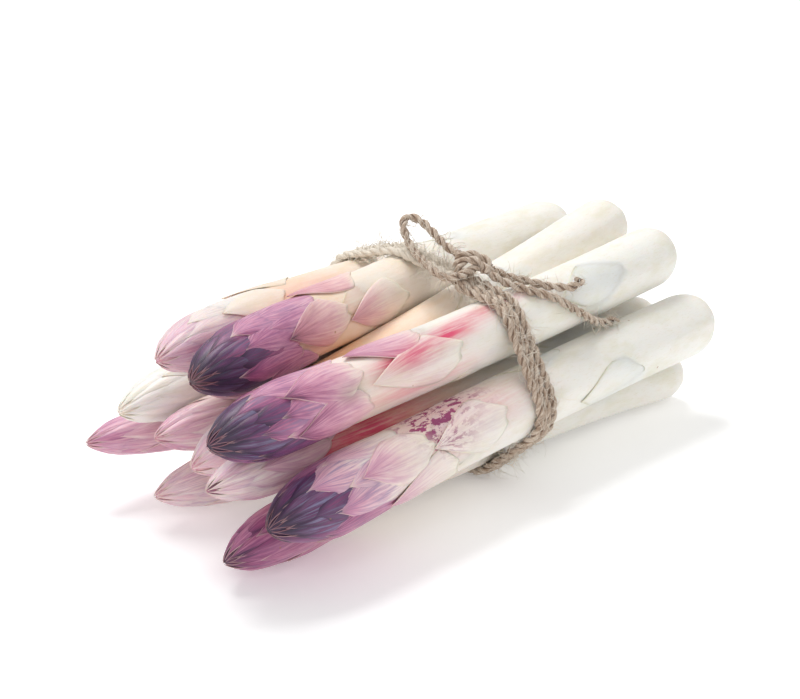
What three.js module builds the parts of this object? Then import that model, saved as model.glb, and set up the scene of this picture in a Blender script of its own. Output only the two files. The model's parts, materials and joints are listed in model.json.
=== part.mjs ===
// A bunch of white asparagus with violet tips, tied with jute twine and lying on its side.
// Millimetres, +Z up. +X runs from the tips to the cut ends, and the bunch's front faces -Y.
// Every spear is one grown piece: stem and closed bud. The loose scale leaves on the stems,
// the turns of twine, the knot, the bow loop and the two twine ends are pieces of their own.
import * as THREE from 'three';

// ---- Driving dimensions ----------------------------------------------------------------

const TIE_X = 7; // the middle of the twine band, measured along the bunch
const BUD_LENGTH = 30; // the tapering part of the closed bud
const BUD_SWELL = 0.03; // how much the bud stands out beyond the stem
const STEM_FLARE = 0.06; // how much a stem thickens towards its cut end
const BUTT_DOME = 9; // length over which a cut end rounds off
const CUT_FACE = 0.45; // radius of the flat cut face, as a share of the stem's
const STEM_SIDES = 12;
const UP = new THREE.Vector3(0, 0, 1);

const TWINE = 2.4; // twine diameter
const TWINE_SIDES = 8;
const GAP = 0.3; // clearance between pieces that touch
const TURNS = 4; // turns of twine side by side
const ARC_STEP = 20; // degrees between the points of a turn on the round of a spear
const SEAT = 0.5; // extra clearance, because a leaning spear is an oval in cross-section

const LEAF_LENGTH = 29;
const LEAF_SPREAD = 32; // half its width, in degrees round the stem
const LEAF_THICKNESS = 1; // at its midrib
const LEAF_EDGE = 0.25; // at its margin
const LEAF_LIFT = 0.8; // how far its free tip stands off the stem
const LEAF_SEAT = 0.1; // extra clearance, because the leaf's facets cut its curve short

// Each spear passes three places: its tip, the tie (y and z in the bunch's cross-section) and
// its cut end.
const SPEARS = [
  { name: 'top', tip: [-99, -13, 55], tie: [7, 54], butt: [97, 22, 50], radius: 9.5 },
  { name: 'upper_front', tip: [-114, -36, 47], tie: [-30, 48], butt: [95.5, -25, 51.5], radius: 9.4 },
  { name: 'front', tip: [-104, -48, 23], tie: [-41, 27.4], butt: [101.5, -37, 29.5], radius: 10 },
  { name: 'upper_back', tip: [-96, 5, 56], tie: [25.5, 50], butt: [102, 39, 37], radius: 8.1 },
  { name: 'middle', tip: [-98, -10, 28], tie: [-11, 45.5], butt: [95.5, -4, 58], radius: 8.8 },
  { name: 'back', tip: [-94, 26, 34], tie: [31, 31.5], butt: [104, 32, 20], radius: 8 },
  { name: 'inner_front', tip: [-110, -30, 31], tie: [-23.5, 28.8], butt: [99, -17, 27], radius: 7.2 },
  { name: 'inner_back', tip: [-90, 15, 28], tie: [12, 22.5], butt: [109, 4, 17.5], radius: 7.4 },
  { name: 'low_front', tip: [-105, -31, 8.2], tie: [-26, 12], butt: [102, -27, 8.2], radius: 8 },
  { name: 'low_middle', tip: [-91, 15, 10], tie: [2, 10.5], butt: [106, -10, 7.5], radius: 7.5 },
  { name: 'low_back', tip: [-95, 41, 20.5], tie: [27, 15], butt: [106, 16, 6.8], radius: 6.8 },
  { name: 'core_low', tip: [-77, -1, 18], tie: [-4, 28], butt: [100, -4, 38], radius: 7 },
  { name: 'core_high', tip: [-77, 8, 41], tie: [12, 37.6], butt: [101, 18, 31], radius: 6.4 },
];

// The loose scale leaves on the stems. "from" is the distance from the spear's tip to the
// leaf's tip, and "side" is the way that the leaf faces, in degrees round the spear from
// straight up towards the front.
const LEAVES = [
  { spear: 'top', from: 34, side: 66 },
  { spear: 'top', from: 64, side: 80 },
  { spear: 'top', from: 50, side: -14 },
  { spear: 'upper_front', from: 24, side: 34 },
  { spear: 'upper_front', from: 25, side: 99 },
  { spear: 'upper_front', from: 56, side: 66 },
  { spear: 'upper_front', from: 54, side: 0 },
  { spear: 'front', from: 30, side: 52 },
  { spear: 'front', from: 60, side: 62 },
  { spear: 'front', from: 40, side: 116 },
  { spear: 'upper_back', from: 26, side: 30 },
  { spear: 'upper_back', from: 40, side: -40 },
  { spear: 'back', from: 28, side: -40 },
  { spear: 'inner_back', from: 24, side: 90 },
  { spear: 'low_front', from: 30, side: 110 },
  { spear: 'low_middle', from: 26, side: 100 },
  { spear: 'low_back', from: 28, side: -80 },
  { spear: 'low_back', from: 24, side: 60 },
];

const KNOT = { centre: [8.5, -20, 65.6], size: [12.5, 9, 5.6] };
const FRONT_OF_KNOT = 110; // the ways that the twine faces where it comes off the two spears
const BACK_OF_KNOT = 90; // on either side of the knot, in degrees from the back upwards
const KNOT_SHARE = 0.66; // how far along the flat stretch from the back the knot sits

// The free twine, from the knot outwards. The loop goes back into the knot.
const BOW_LOOP = [
  [0.4, -21.6, 64.5], [-1.5, -19.4, 64], [-1.8, -15.2, 64.6], [-0.4, -10.8, 65.5],
  [1, -6.4, 66.4], [2.3, -2.6, 67.3], [3.5, 0.8, 68.8], [4.4, 3.6, 71], [5.4, 5.6, 73.5],
  [6.9, 6.3, 75.3], [8.7, 5.2, 75.7], [9.6, 1.9, 74.8], [9.6, -2.1, 72.9], [9.1, -6.8, 70.5],
  [9, -11.2, 68.6], [9.2, -14, 67.8],
];
const SHORT_END = [
  [13.8, -24.4, 64], [15.4, -25.6, 62.7], [17.6, -27.2, 61.5], [19.8, -29.8, 60.9],
  [22.2, -32.8, 59.9], [25.3, -35.1, 58.7], [29, -37, 57.8], [32.4, -38.8, 57.3],
  [35.2, -39.8, 57.9], [36.2, -39.9, 59.6],
];
const LONG_END = [
  [11, -25, 63.8], [12.4, -27.2, 62.2], [14.7, -29.2, 60.6], [17.2, -32, 59.3],
  [19.9, -34.9, 58.1], [23.4, -37.2, 56.6], [26.8, -38.8, 54.9], [31.2, -40.3, 51.7],
  [38, -40.8, 47.2], [44.8, -39.6, 43.4], [50.5, -38.8, 41.4], [56, -39, 41.1],
];

// ---- Materials -------------------------------------------------------------------------

const IVORY = 0xebe5d3;
const MAUVE = 0xc7a2ab;
const JUTE = 0xa8937f;

function plant(colour) {
  return new THREE.MeshStandardMaterial({ color: colour, roughness: 0.45, metalness: 0 });
}

function fibre(colour) {
  return new THREE.MeshStandardMaterial({ color: colour, roughness: 0.95, metalness: 0 });
}

// ---- Geometry helpers ------------------------------------------------------------------

// Makes a mesh geometry from points and triangles, with its faces pointing out.
function solid(points, triangles) {
  const corner = new THREE.Vector3();
  let volume = 0;
  for (const [a, b, c] of triangles) {
    volume += points[a].dot(corner.crossVectors(points[b], points[c]));
  }
  const outward = volume > 0 ? triangles : triangles.map(([a, b, c]) => [a, c, b]);
  const geometry = new THREE.BufferGeometry().setFromPoints(points);
  geometry.setIndex(outward.flat());
  geometry.computeVertexNormals();
  return geometry;
}

// Skins a row of rings, each with the same number of points, and closes both ends.
function skin(rings) {
  const sides = rings[0].length;
  const points = rings.flat();
  const triangles = [];
  for (let ring = 0; ring + 1 < rings.length; ring++) {
    for (let side = 0; side < sides; side++) {
      const a = ring * sides + side;
      const b = ring * sides + (side + 1) % sides;
      triangles.push([a, b, b + sides], [a, b + sides, a + sides]);
    }
  }
  const last = (rings.length - 1) * sides;
  for (let side = 1; side + 1 < sides; side++) {
    triangles.push([0, side + 1, side], [last, last + side, last + side + 1]);
  }
  return solid(points, triangles);
}

// ---- Spears ----------------------------------------------------------------------------

// The centreline of a spear: one gentle bend through its tip, the tie and its cut end.
class SpearLine extends THREE.Curve {
  constructor({ tip, tie, butt, radius }) {
    super();
    this.tip = new THREE.Vector3(...tip);
    this.tie = new THREE.Vector3(TIE_X, ...tie);
    this.butt = new THREE.Vector3(...butt);
    this.radius = radius;
    this.length = this.getLength();
  }

  atX(x) {
    const { tip, tie, butt } = this;
    const tipShare = ((x - tie.x) * (x - butt.x)) / ((tip.x - tie.x) * (tip.x - butt.x));
    const tieShare = ((x - tip.x) * (x - butt.x)) / ((tie.x - tip.x) * (tie.x - butt.x));
    const buttShare = ((x - tip.x) * (x - tie.x)) / ((butt.x - tip.x) * (butt.x - tie.x));
    return new THREE.Vector3()
      .addScaledVector(tip, tipShare)
      .addScaledVector(tie, tieShare)
      .addScaledVector(butt, buttShare);
  }

  getPoint(t) {
    return this.atX(THREE.MathUtils.lerp(this.tip.x, this.butt.x, t));
  }

  // The spear's radius at a distance from its tip.
  radiusAt(distance) {
    const stem = this.radius * (1 + STEM_FLARE * distance / this.length);
    const taper = Math.min(distance / BUD_LENGTH, 1);
    const bud = (1 - (1 - taper) ** 2.4) ** 0.7;
    const swell = 1 + BUD_SWELL * Math.sin(Math.PI * Math.min(distance / (2 * BUD_LENGTH), 1));
    const left = Math.min((this.length - distance) / BUTT_DOME, 1);
    const dome = CUT_FACE + (1 - CUT_FACE) * Math.sqrt(1 - (1 - left) ** 2);
    return stem * bud * swell * dome;
  }

  // A point round the spear: distance from its tip, degrees from straight up towards the
  // front, and distance from the centreline.
  around(distance, degrees, radius) {
    const share = distance / this.length;
    const centre = this.getPointAt(share);
    const along = this.getTangentAt(share);
    const front = new THREE.Vector3().crossVectors(along, UP).normalize();
    const up = new THREE.Vector3().crossVectors(front, along);
    const angle = THREE.MathUtils.degToRad(degrees);
    return centre
      .addScaledVector(up, radius * Math.cos(angle))
      .addScaledVector(front, radius * Math.sin(angle));
  }
}

function spearGeometry(line) {
  const end = line.length;
  const stations = [0.6, 2.5, 6, 11, 18, BUD_LENGTH, 2 * BUD_LENGTH];
  const straight = 4;
  for (let step = 1; step <= straight; step++) {
    stations.push(THREE.MathUtils.lerp(2 * BUD_LENGTH, end - BUTT_DOME, step / straight));
  }
  stations.push(end - 0.5 * BUTT_DOME, end - 0.15 * BUTT_DOME, end);
  const rings = stations.map((distance) => {
    const ring = [];
    for (let side = 0; side < STEM_SIDES; side++) {
      const degrees = (side + 0.5) * 360 / STEM_SIDES;
      ring.push(line.around(distance, degrees, line.radiusAt(distance)));
    }
    return ring;
  });
  return skin(rings);
}

// ---- Scale leaves ----------------------------------------------------------------------

// A scale leaf: a thin shell bent round the stem, pointed at its free tip, thickest along its
// midrib, and lying close to the stem at its base.
function leafGeometry(line, from, side) {
  const rows = 6;
  const columns = 6;
  const sheets = [[], []];
  for (let row = 0; row <= rows; row++) {
    const along = row / rows;
    const spread = LEAF_SPREAD * (0.06 + 0.94 * Math.sin(Math.PI * (0.62 * along) ** 0.85));
    const distance = from + LEAF_LENGTH * along;
    const seat = line.radiusAt(distance) + GAP + LEAF_SEAT + LEAF_LIFT * (1 - along) ** 2;
    for (let column = 0; column <= columns; column++) {
      const across = 2 * column / columns - 1;
      const crown = (1 - across ** 2) * Math.sin(Math.PI * Math.min(0.1 + along, 1));
      const thickness = LEAF_EDGE + (LEAF_THICKNESS - LEAF_EDGE) * crown;
      const degrees = side + spread * across;
      sheets[0].push(line.around(distance, degrees, seat));
      sheets[1].push(line.around(distance, degrees, seat + thickness));
    }
  }
  return closedShell(sheets[0], sheets[1], rows, columns);
}

// Joins an inner and an outer sheet of points into one closed shell.
function closedShell(inner, outer, rows, columns) {
  const wide = columns + 1;
  const points = [...inner, ...outer];
  const triangles = [];
  const quad = (a, b, c, d) => triangles.push([a, b, c], [a, c, d]);
  for (let row = 0; row < rows; row++) {
    for (let column = 0; column < columns; column++) {
      const a = row * wide + column;
      const o = a + inner.length;
      quad(a, a + 1, a + 1 + wide, a + wide);
      quad(o, o + wide, o + wide + 1, o + 1);
    }
  }
  const rim = [];
  for (let column = 0; column < columns; column++) rim.push(column);
  for (let row = 0; row < rows; row++) rim.push(row * wide + columns);
  for (let column = columns; column > 0; column--) rim.push(rows * wide + column);
  for (let row = rows; row > 0; row--) rim.push(row * wide);
  rim.forEach((a, index) => {
    const b = rim[(index + 1) % rim.length];
    quad(a, a + inner.length, b + inner.length, b);
  });
  return solid(points, triangles);
}

// ---- Twine -----------------------------------------------------------------------------

// A path through given points, with one tube section at each point.
class Route extends THREE.Curve {
  constructor(points) {
    super();
    this.points = points;
  }

  getPoint(t) {
    const place = THREE.MathUtils.clamp(t, 0, 1) * (this.points.length - 1);
    const index = Math.min(Math.floor(place), this.points.length - 2);
    return this.points[index].clone().lerp(this.points[index + 1], place - index);
  }

  getPointAt(t) {
    return this.getPoint(t);
  }

  getTangentAt(t) {
    return this.getTangent(t);
  }
}

function twineGeometry(points) {
  const section = new THREE.Shape();
  for (let side = 0; side < TWINE_SIDES; side++) {
    const angle = 2 * Math.PI * side / TWINE_SIDES;
    const x = TWINE / 2 * Math.cos(angle);
    const y = TWINE / 2 * Math.sin(angle);
    if (side === 0) section.moveTo(x, y);
    else section.lineTo(x, y);
  }
  const extrudePath = new Route(points);
  const steps = points.length - 1;
  return new THREE.ExtrudeGeometry(section, { steps, bevelEnabled: false, extrudePath });
}

// Free twine: a smooth curve through the points of its route.
function freeTwineGeometry(route) {
  const curve = new THREE.CatmullRomCurve3(route.map((point) => new THREE.Vector3(...point)));
  return twineGeometry(curve.getPoints(2 * (route.length - 1)));
}

// The place of a taut turn of twine round the bunch, for the direction that it faces in the
// cross-section: it touches the spear that reaches furthest out that way.
function tautPoint(lines, x, degrees) {
  const angle = THREE.MathUtils.degToRad(degrees);
  const outward = new THREE.Vector3(0, Math.cos(angle), Math.sin(angle));
  let best = null;
  let reach = -Infinity;
  for (const line of lines) {
    const centre = line.atX(x);
    const radius = line.radiusAt(x - line.tip.x) + GAP + SEAT + TWINE / 2;
    const distance = centre.dot(outward) + radius;
    if (distance > reach) {
      reach = distance;
      best = centre.addScaledVector(outward, radius);
    }
  }
  return best;
}

// The turns start and end under the knot, on the flat stretch between the two spears on top.
function wrapRoute(lines) {
  const left = TIE_X - (TURNS / 2) * (TWINE + GAP);
  const right = TIE_X + (TURNS / 2) * (TWINE + GAP);
  const points = [underKnot(lines, left)];
  for (let degrees = FRONT_OF_KNOT; degrees <= 360 * TURNS + BACK_OF_KNOT; degrees += ARC_STEP) {
    const turned = (degrees - FRONT_OF_KNOT) / (360 * TURNS + BACK_OF_KNOT - FRONT_OF_KNOT);
    points.push(tautPoint(lines, THREE.MathUtils.lerp(left, right, turned), degrees));
  }
  points.push(underKnot(lines, right));
  return points;
}

function underKnot(lines, x) {
  return tautPoint(lines, x, BACK_OF_KNOT).lerp(tautPoint(lines, x, FRONT_OF_KNOT), KNOT_SHARE);
}

function knotGeometry() {
  const knot = new THREE.SphereGeometry(0.5, 12, 8);
  knot.scale(...KNOT.size);
  knot.translate(...KNOT.centre);
  return knot;
}

// ---- The bunch -------------------------------------------------------------------------

const lines = new Map(SPEARS.map((spear) => [spear.name, new SpearLine(spear)]));
const bunch = new THREE.Group();

function addPiece(parent, name, geometry, material) {
  const mesh = new THREE.Mesh(geometry, material);
  mesh.name = name;
  parent.add(mesh);
}

for (const [name, line] of lines) {
  addPiece(bunch, `spear_${name}`, spearGeometry(line), plant(IVORY));
}

const leafCount = new Map();
for (const { spear, from, side } of LEAVES) {
  const number = (leafCount.get(spear) ?? 0) + 1;
  leafCount.set(spear, number);
  const geometry = leafGeometry(lines.get(spear), from, side);
  addPiece(bunch, `scale_leaf_${spear}_${number}`, geometry, plant(MAUVE));
}

addPiece(bunch, 'twine_turns', twineGeometry(wrapRoute([...lines.values()])), fibre(JUTE));
addPiece(bunch, 'twine_knot', knotGeometry(), fibre(JUTE));

// The origin is on the table, under the middle of the bunch without its free twine.
const held = new THREE.Box3().setFromObject(bunch, true);
const middle = held.getCenter(new THREE.Vector3());
bunch.position.set(-middle.x, -middle.y, -held.min.z);

addPiece(bunch, 'twine_bow_loop', freeTwineGeometry(BOW_LOOP), fibre(JUTE));
addPiece(bunch, 'twine_short_end', freeTwineGeometry(SHORT_END), fibre(JUTE));
addPiece(bunch, 'twine_long_end', freeTwineGeometry(LONG_END), fibre(JUTE));

export default bunch;
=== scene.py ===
# %% [markdown]
# # A tied bunch of white asparagus
#
# This lesson builds the looks of a bunch of white asparagus with violet tips, tied round the
# middle with jute twine. The plain solids come from the CAD frame. Every place and size is
# measured on them, and the visible surfaces are built round them.

# %% Load the frame
import json
import math
import random

import bpy
import numpy as np
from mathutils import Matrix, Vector

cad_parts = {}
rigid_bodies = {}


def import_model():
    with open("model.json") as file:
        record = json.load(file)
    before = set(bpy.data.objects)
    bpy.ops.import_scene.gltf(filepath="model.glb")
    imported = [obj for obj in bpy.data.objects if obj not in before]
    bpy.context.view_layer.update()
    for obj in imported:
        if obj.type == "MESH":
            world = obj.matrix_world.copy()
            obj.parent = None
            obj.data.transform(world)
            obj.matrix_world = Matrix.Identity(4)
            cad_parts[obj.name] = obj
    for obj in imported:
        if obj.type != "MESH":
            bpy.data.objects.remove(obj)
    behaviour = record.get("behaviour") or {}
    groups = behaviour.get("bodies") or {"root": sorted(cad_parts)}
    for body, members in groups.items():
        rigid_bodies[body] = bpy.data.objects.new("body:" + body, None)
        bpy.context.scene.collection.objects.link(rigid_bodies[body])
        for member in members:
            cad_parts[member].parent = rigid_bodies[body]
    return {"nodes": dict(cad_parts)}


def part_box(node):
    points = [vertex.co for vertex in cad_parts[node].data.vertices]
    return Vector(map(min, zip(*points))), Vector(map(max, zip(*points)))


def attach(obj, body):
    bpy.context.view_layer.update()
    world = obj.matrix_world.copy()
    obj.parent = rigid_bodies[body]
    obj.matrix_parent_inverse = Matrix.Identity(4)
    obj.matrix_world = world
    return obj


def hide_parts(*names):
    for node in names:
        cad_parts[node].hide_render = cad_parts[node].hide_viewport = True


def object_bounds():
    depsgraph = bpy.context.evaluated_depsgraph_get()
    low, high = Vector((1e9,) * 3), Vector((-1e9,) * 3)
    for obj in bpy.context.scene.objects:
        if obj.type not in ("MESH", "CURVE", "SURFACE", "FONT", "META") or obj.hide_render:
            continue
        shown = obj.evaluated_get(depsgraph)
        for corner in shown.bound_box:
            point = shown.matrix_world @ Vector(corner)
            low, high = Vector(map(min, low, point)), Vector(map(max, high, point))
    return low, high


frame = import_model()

MM = 0.001
UP = np.array([0.0, 0.0, 1.0])
cad_box = [list(corner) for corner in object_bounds()]
print("the CAD box is", np.round((np.array(cad_box[1]) - cad_box[0]) / MM, 1), "mm")

# %% [markdown]
# ## Where the bunch lies
#
# The knot is a piece whose middle the design states outright. The middle of its box in the
# frame therefore gives the step from the design's numbers to the frame's.

# %% The design's origin
KNOT_MIDDLE = np.array([8.5, -20, 65.6]) * MM

origin = np.mean(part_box("twine_knot"), axis=0) - KNOT_MIDDLE
print("the design's origin is at", np.round(origin / MM, 2), "mm")

# %% [markdown]
# ## Camera
#
# The camera looks down at the tips from the front left. It stands far off with a long lens. A
# short lens close by would make the near tips look huge.

# %% The camera
AZIMUTH = math.radians(-46.2)
ELEVATION = math.radians(19.9)
CAMERA_DISTANCE = 0.70
FOCAL_LENGTH = 103.6
AIM = np.array([-10.6, -8.3, 40.7]) * MM


def link(thing):
    bpy.context.scene.collection.objects.link(thing)
    return thing


def look_at(thing, target):
    sight = Vector(target) - thing.location
    thing.rotation_euler = sight.to_track_quat("-Z", "Y").to_euler()


def add_camera():
    data = bpy.data.cameras.new("camera")
    data.lens = FOCAL_LENGTH
    data.clip_start = 0.05
    camera = link(bpy.data.objects.new("camera", data))
    back = np.array([math.sin(AZIMUTH) * math.cos(ELEVATION),
                     -math.cos(AZIMUTH) * math.cos(ELEVATION),
                     math.sin(ELEVATION)])
    camera.location = origin + AIM + CAMERA_DISTANCE * back
    look_at(camera, origin + AIM)
    bpy.context.scene.camera = camera
    return camera


camera = add_camera()
print("the camera stands at", np.round(np.array(camera.location), 3))

# %% [markdown]
# ## Shader maths
#
# Vegetable skin is many thin effects on top of one another: a stain, streaks, a pale margin.
# Wiring each sum by hand takes dozens of lines. One small class wraps a socket instead, so a
# sum is written as a sum. Colours and vectors have their own nodes, because a Math node
# would turn a colour grey.


# %% One class for a shader value
class Wire:
    """A value in a shader that can be used in sums, like a number."""

    def __init__(self, tree, socket=None):
        self.tree = tree
        self.socket = socket

    def node(self, kind, settings, inputs, output=0):
        """Adds any node: its settings first, then the values or links of its sockets."""
        made = self.tree.nodes.new("ShaderNode" + kind)
        for name, value in settings.items():
            if name == "stops":
                self.set_stops(made.color_ramp.elements, value)
            else:
                setattr(made, name, value)
        for name, value in inputs.items():
            if isinstance(value, Wire):
                self.tree.links.new(value.socket, made.inputs[name])
            else:
                made.inputs[name].default_value = value
        return Wire(self.tree, made.outputs[output])

    @staticmethod
    def set_stops(elements, stops):
        while len(elements) < len(stops):
            elements.new(1.0)
        for element, (place, code) in zip(elements, stops):
            element.position = place
            element.color = colour(code)

    def maths(self, operation, *values, clamp=False):
        settings = {"operation": operation, "use_clamp": clamp}
        return self.node("Math", settings, dict(enumerate(values)))

    def __add__(self, other):
        return self.maths("ADD", self, other)

    def __sub__(self, other):
        return self.maths("SUBTRACT", self, other)

    def __rsub__(self, other):
        return self.maths("SUBTRACT", other, self)

    def __mul__(self, other):
        return self.maths("MULTIPLY", self, other)

    __radd__ = __add__
    __rmul__ = __mul__

    def clamped(self):
        return self.maths("ADD", self, 0.0, clamp=True)

    def step(self, low, high):
        """Rises smoothly from 0 at low to 1 at high, or falls where low is the greater."""
        settings = {"interpolation_type": "SMOOTHSTEP"}
        if low < high:
            return self.node("MapRange", settings, {0: self, 1: low, 2: high, 3: 0.0, 4: 1.0})
        return self.node("MapRange", settings, {0: self, 1: high, 2: low, 3: 1.0, 4: 0.0})

    def stretched(self, factors):
        settings = {"operation": "MULTIPLY"}
        return self.node("VectorMath", settings, {0: self, 1: factors})

    def noise(self, scale, detail=3.0, roughness=0.6):
        inputs = {"Vector": self, "Scale": scale, "Detail": detail, "Roughness": roughness}
        return self.node("TexNoise", {}, inputs)

    def cells(self, scale):
        inputs = {"Vector": self, "Scale": scale}
        return self.node("TexVoronoi", {}, inputs)

    def ramp(self, stops):
        return self.node("ValToRGB", {"stops": stops}, {0: self})

    def painted(self, colour, factor):
        """This colour with another laid over it by a factor from 0 to 1."""
        return self.node("Mix", {"data_type": "RGBA"}, {0: factor, 6: self, 7: colour}, 2)

    def attribute(self, name):
        return self.node("Attribute", {"attribute_name": name}, {}, 2)

    def place(self, name):
        return self.node("Attribute", {"attribute_name": name}, {}, 1)


def linear(share):
    if share <= 0.04045:
        return share / 12.92
    return ((share + 0.055) / 1.055) ** 2.4


def colour(code):
    """The shader's colour for a six-figure code, as on a paint chart."""
    parts = [int(code[place:place + 2], 16) / 255 for place in (0, 2, 4)]
    return (*(linear(part) for part in parts), 1.0)


def new_finish(name):
    material = bpy.data.materials.new(name)
    material.use_nodes = True
    shader = material.node_tree.nodes["Principled BSDF"]
    return material, shader, Wire(material.node_tree)


def connect(shader, name, wire):
    wire.tree.links.new(wire.socket, shader.inputs[name])


def set_constants(shader, values):
    """Sets the shader's own sockets."""
    for name, value in values.items():
        shader.inputs[name].default_value = value


def bump(height, strength, depth):
    inputs = {"Height": height, "Strength": strength, "Distance": depth}
    return height.node("Bump", {}, inputs)


print("shader maths is ready")

# %% [markdown]
# ## Floor and light
#
# The bunch lies on a plain white table in a bright room. A large soft lamp overhead and a
# weaker one behind the camera leave one faint shadow under the bunch. A single small lamp
# would cut hard shadows between the spears.

# %% The studio
FLOOR_HALF = 4.0
FLOOR_GLOW = 0.22


def add_lamp(name, place, size, power):
    data = bpy.data.lights.new(name, "AREA")
    data.shape = "DISK"
    data.size = size
    data.energy = power
    lamp = link(bpy.data.objects.new(name, data))
    lamp.location = place
    look_at(lamp, origin + AIM)


def add_floor():
    mesh = bpy.data.meshes.new("floor")
    square = ((-1, -1), (1, -1), (1, 1), (-1, 1))
    corners = [(x * FLOOR_HALF, y * FLOOR_HALF, 0) for x, y in square]
    mesh.from_pydata(corners, [], [(0, 1, 2, 3)])
    floor = link(bpy.data.objects.new("floor", mesh))
    material, shader, _ = new_finish("floor_white")
    set_constants(shader, {"Base Color": colour("f6f6f6"), "Roughness": 0.9,
                           "Specular IOR Level": 0.1, "Emission Color": colour("ffffff"),
                           "Emission Strength": FLOOR_GLOW})
    mesh.materials.append(material)


def add_sky(strength):
    world = bpy.data.worlds.new("studio")
    world.use_nodes = True
    sky = world.node_tree.nodes["Background"]
    sky.inputs["Color"].default_value = colour("ffffff")
    sky.inputs["Strength"].default_value = strength
    bpy.context.scene.world = world


add_floor()
add_sky(0.58)
add_lamp("overhead", (0.15, 0.55, 1.2), 0.7, 11.5)
add_lamp("front", (-1.0, -0.7, 0.8), 0.6, 4.0)
bpy.context.scene.view_settings.view_transform = "Standard"
print("the studio is lit")

# %% [markdown]
# ## Measuring the spears
#
# A spear is a round stem that bends gently and ends in a closed bud. The points of its solid
# balance round its centreline, so a curve fitted through them runs through its middle. Three
# numbers then place anything on it: the distance from the tip, the way round from straight up
# towards the front, and the height over the skin.

# %% A measured spear
BUD_LENGTH = 30 * MM
BUD_SWELL = 0.03
BUD_FULLNESS = 2.4
BUD_BLUNTNESS = 0.7
STEM_FLARE = 0.06
BUTT_DOME = 9 * MM
CUT_FACE = 0.45


def reach_along(points):
    """How far along a line each of its points is."""
    return np.concatenate([[0], np.cumsum(np.linalg.norm(np.diff(points, axis=0), axis=1))])


class Spear:
    def __init__(self, node):
        mesh = bpy.data.objects[node].data
        points = np.array([vertex.co for vertex in mesh.vertices])
        points = np.unique(np.round(points, 6), axis=0)
        self.name = node.removeprefix("spear_")
        self.low = points[:, 0].min()
        self.high = points[:, 0].max()
        self.y = np.polynomial.Polynomial.fit(points[:, 0], points[:, 1], 2)
        self.z = np.polynomial.Polynomial.fit(points[:, 0], points[:, 2], 2)
        self.xs = np.linspace(self.low, self.high, 400)
        self.reach = reach_along(self.centre_at(self.xs))
        self.length = self.reach[-1]
        self.radius = self.stem_radius(points)

    def stem_radius(self, points):
        middle = (self.low + self.high) / 2
        stretch = points[np.abs(points[:, 0] - middle) < 40 * MM]
        away = stretch - self.centre_at(stretch[:, 0])
        distance = np.interp(stretch[:, 0], self.xs, self.reach)
        return np.mean(np.linalg.norm(away, axis=1) / self.flare(distance))

    def centre_at(self, x):
        return np.stack([x, self.y(x), self.z(x)], axis=-1)

    def flare(self, distance):
        return 1 + STEM_FLARE * distance / self.length

    def axes_at(self, distance):
        x = np.interp(distance, self.reach, self.xs)
        ahead = self.centre_at(x + MM) - self.centre_at(x - MM)
        along = ahead / np.linalg.norm(ahead, axis=-1, keepdims=True)
        front = np.cross(along, UP)
        front /= np.linalg.norm(front, axis=-1, keepdims=True)
        return self.centre_at(x), along, front, np.cross(front, along)

    def around(self, distance, side, radius):
        centre, _, front, up = self.axes_at(distance)
        turn = np.cos(side)[..., None] * up + np.sin(side)[..., None] * front
        return centre + radius[..., None] * turn

    def outline(self, distance):
        """The spear's radius at a distance from its tip, with its bud closed."""
        distance = np.clip(distance, 0, self.length)
        taper = np.minimum(distance / BUD_LENGTH, 1)
        bud = (1 - (1 - taper) ** BUD_FULLNESS) ** BUD_BLUNTNESS
        swell = 1 + BUD_SWELL * np.sin(np.pi * np.minimum(distance / (2 * BUD_LENGTH), 1))
        left = np.minimum((self.length - distance) / BUTT_DOME, 1)
        dome = CUT_FACE + (1 - CUT_FACE) * np.sqrt(np.maximum(1 - (1 - left) ** 2, 0))
        return self.radius * self.flare(distance) * bud * swell * dome

    def place_of(self, point):
        """The distance from the tip and the way round of a point near the spear."""
        distance = np.interp(point[0], self.xs, self.reach)
        centre, along, front, up = self.axes_at(distance)
        away = point - centre
        return distance + away @ along, math.atan2(away @ front, away @ up)


spears = {node.removeprefix("spear_"): Spear(node)
          for node in frame["nodes"] if node.startswith("spear_")}
for spear in spears.values():
    print(f"{spear.name}: {spear.length / MM:.0f} mm long, {2 * spear.radius / MM:.1f} mm thick")

# %% [markdown]
# ## Collecting a piece
#
# A spear's mesh is a stem with many small scales grown on it. Each part brings points, faces
# and the values that the finish reads at each point. The collector joins them into one mesh
# object, which rides on the bunch's only body and stands for its CAD solid.

# %% The collector
PLANT_VALUES = ("stain", "flush", "mottle", "pale", "warm", "green", "slate", "khaki", "cut",
                "rim")


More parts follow.
